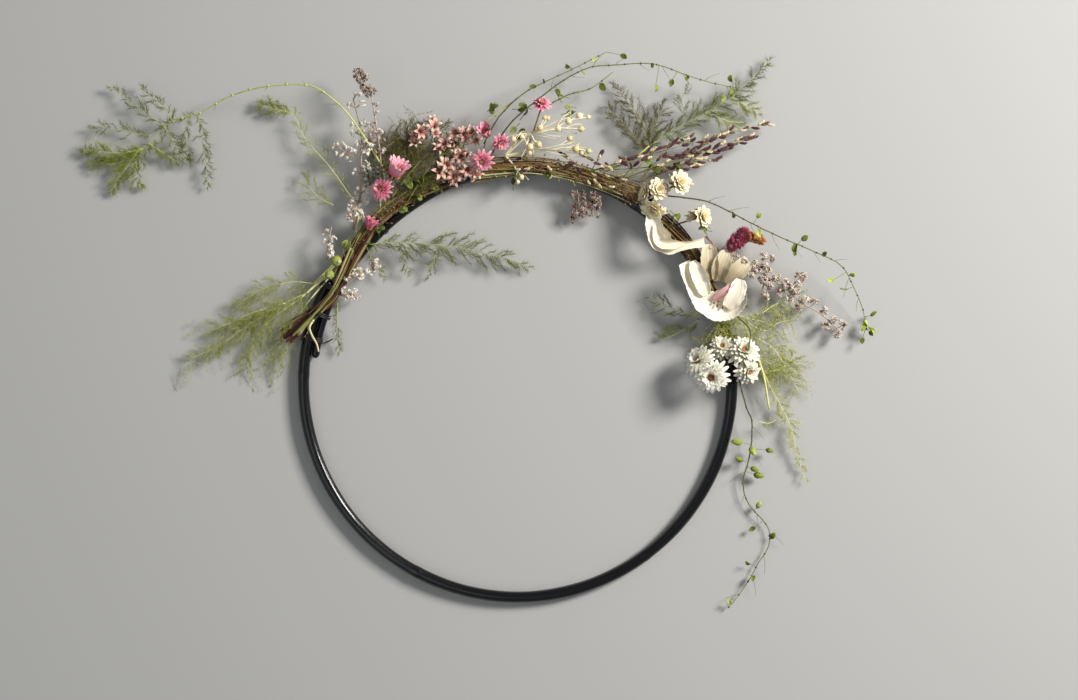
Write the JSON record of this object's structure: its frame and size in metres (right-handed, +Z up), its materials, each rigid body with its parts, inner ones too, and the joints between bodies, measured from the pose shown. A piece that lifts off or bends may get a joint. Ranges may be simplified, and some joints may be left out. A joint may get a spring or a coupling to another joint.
{
  "type": "dressed wreath frame",
  "caption": "Round black cane hoop with lapped, wire-tied ends, its upper half dressed with wired-on dried stems, feathery foliage, trailing vines, seed heads and papery flowers.",
  "frame": {"origin": "middle of the hoop, on the surface that the wreath lies on", "axes": "+Z up, along the hoop's axis; +X across the hoop towards the side with the white flowers; +Y towards the crown of the garland"},
  "size_m": [0.5427, 0.3793, 0.0397],
  "materials": {
    "cane": "satin",
    "wire": "satin",
    "brown_stem": "matte",
    "cream_stem": "matte",
    "golden_stem": "satin",
    "vine_stem": "satin",
    "fern": "matte",
    "pale_fern": "matte",
    "round_leaf": "satin",
    "garland_leaf": "matte",
    "seed_heads": "matte",
    "pod": "satin",
    "pink_petal": "satin",
    "blush_petal": "matte",
    "flax": "satin",
    "spikelet": "matte",
    "cream_petal": "satin",
    "white_petal": "satin",
    "taupe_petal": "satin",
    "magenta_plume": "matte",
    "rust_plume": "matte"
  },
  "bodies": {
    "root": {"hoop": "cane", "lap_tie": "wire", "binding_wires": "wire", "cut_stems": "brown_stem", "cream_stem": "cream_stem", "shoulder_stems": "brown_stem", "crown_stems": "golden_stem", "grass_stalks": "golden_stem", "fern_arch": "pale_fern", "fern_arch_tips": "fern", "fern_left_tip": "fern", "fern_behind_pinks": "fern", "fern_inner": "fern", "fern_low_left": "pale_fern", "fern_drop": "fern", "fern_dark": "fern", "fern_high": "fern", "fern_right": "pale_fern", "fern_right_inner": "pale_fern", "fern_right_spray": "pale_fern", "fern_hanging": "pale_fern", "vine_crest": "vine_stem", "vine_arch": "vine_stem", "vine_short": "vine_stem", "vine_right": "vine_stem", "vine_loop": "vine_stem", "vine_trailing": "vine_stem", "vine_leaves": "round_leaf", "garland_leaves": "garland_leaf", "seed_sprig_left": "seed_heads", "seed_sprig_tall": "seed_heads", "seed_sprigs_small": "seed_heads", "seed_sprig_right": "seed_heads", "seed_clusters_inner": "seed_heads", "green_pods": "pod", "pink_flower_open": "pink_petal", "pink_flower_tulip": "pink_petal", "pink_bud": "pink_petal", "pink_flower_star": "pink_petal", "pink_flower_pair": "pink_petal", "pink_flower_high": "pink_petal", "star_florets_upper": "blush_petal", "star_florets_lower": "blush_petal", "flax_stems": "flax", "flax_pods": "flax", "grass_spikelets": "spikelet", "cream_flower_side": "cream_petal", "cream_flower_cup": "cream_petal", "cream_flower_open": "cream_petal", "cream_flower_low": "cream_petal", "cream_flower_right": "cream_petal", "curled_petal": "white_petal", "white_flower": "white_petal", "papery_petals": "taupe_petal", "celosia_tuft": "magenta_plume", "celosia_tail": "rust_plume", "white_daisy": "white_petal", "white_daisy_side": "cream_petal", "white_daisy_cluster": "cream_petal"}
  },
  "joints": []
}
